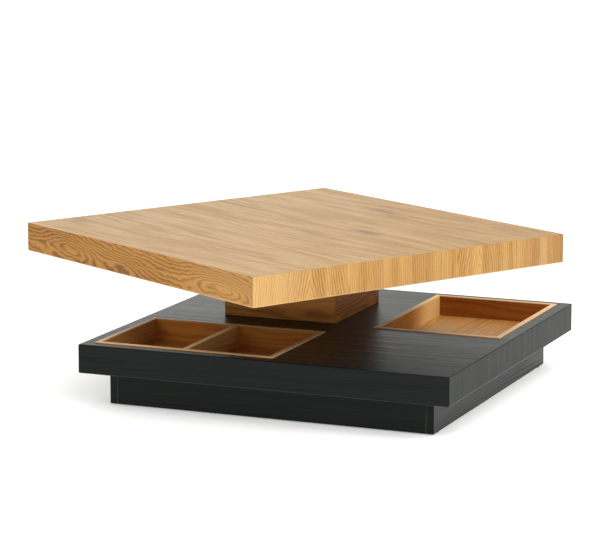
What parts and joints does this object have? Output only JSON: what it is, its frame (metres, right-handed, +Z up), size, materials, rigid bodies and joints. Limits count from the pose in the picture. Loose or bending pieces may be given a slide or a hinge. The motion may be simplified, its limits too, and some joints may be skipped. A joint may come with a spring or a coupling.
{
  "type": "swivel coffee table",
  "caption": "Low square coffee table: an oak slab top swivels off centre on a square box pedestal over a matching black slab base with inset oak trays and a recessed plinth.",
  "frame": {"origin": "on the floor at the centre of the square base, under the glide of the plinth's centre brace", "axes": "+X to the right along the front edge of the base, +Y to the back, +Z up"},
  "size_m": [1.0902, 1.0902, 0.336],
  "materials": {
    "oak": "satin lacquer",
    "tray_oak": "satin lacquer",
    "black_wood": "black stain, satin",
    "plain_wood": "raw sawn",
    "zinc_steel": "zinc plated",
    "ball_steel": "polished",
    "nylon": "moulded",
    "glide_plastic": "moulded"
  },
  "bodies": {
    "base": {"plinth_front_board": "black_wood", "plinth_right_board": "black_wood", "plinth_back_board": "black_wood", "plinth_left_board": "black_wood", "slab_top_panel": "black_wood", "slab_front_rail": "black_wood", "slab_right_rail": "black_wood", "slab_back_rail": "black_wood", "slab_left_rail": "black_wood", "slab_bottom_panel": "black_wood", "plinth_centre_brace": "plain_wood", "plinth_corner_blocks": "plain_wood", "slab_support_block": "plain_wood", "slab_core_battens": "plain_wood", "pedestal_corner_posts": "plain_wood", "pedestal_top_board": "plain_wood", "pedestal_front_wall": "oak", "pedestal_right_wall": "oak", "pedestal_back_wall": "oak", "pedestal_left_wall": "oak", "divided_tray_front_wall": "tray_oak", "divided_tray_right_wall": "tray_oak", "divided_tray_back_wall": "tray_oak", "divided_tray_left_wall": "tray_oak", "open_tray_front_wall": "tray_oak", "open_tray_right_wall": "tray_oak", "open_tray_back_wall": "tray_oak", "open_tray_left_wall": "tray_oak", "divided_tray_floor": "tray_oak", "open_tray_floor": "tray_oak", "divided_tray_divider": "tray_oak", "plinth_fixing_screws": "zinc_steel", "pedestal_fixing_screws": "zinc_steel", "swivel_lower_plate": "zinc_steel", "lower_plate_screws": "zinc_steel", "pivot_washer": "zinc_steel", "pivot_nut": "zinc_steel", "pivot_bolt": "zinc_steel", "floor_glides": "glide_plastic"},
    "ball_ring": {"ball_cage": "nylon", "bearing_balls": "ball_steel"},
    "tabletop": {"tabletop_upper_panel": "oak", "tabletop_front_rail": "oak", "tabletop_right_rail": "oak", "tabletop_back_rail": "oak", "tabletop_left_rail": "oak", "tabletop_lower_panel": "black_wood", "swivel_mounting_block": "plain_wood", "tabletop_core_battens": "plain_wood", "swivel_upper_plate": "zinc_steel", "upper_plate_screws": "zinc_steel", "pivot_bush": "nylon", "thrust_washer": "nylon"}
  },
  "joints": [
    {"name": "tabletop_swivel", "type": "hinge", "parent": "base", "child": "tabletop", "pos_m": [-0.122, 0.122, 0.276], "axis": [0, 0, 1], "continuous": true},
    {"name": "ball_ring_roll", "type": "hinge", "parent": "base", "child": "ball_ring", "pos_m": [-0.122, 0.122, 0.271], "axis": [0, 0, 1], "continuous": true}
  ],
  "couplings": [
    {"joint": "ball_ring_roll", "follows": "tabletop_swivel", "ratio": 0.5}
  ]
}
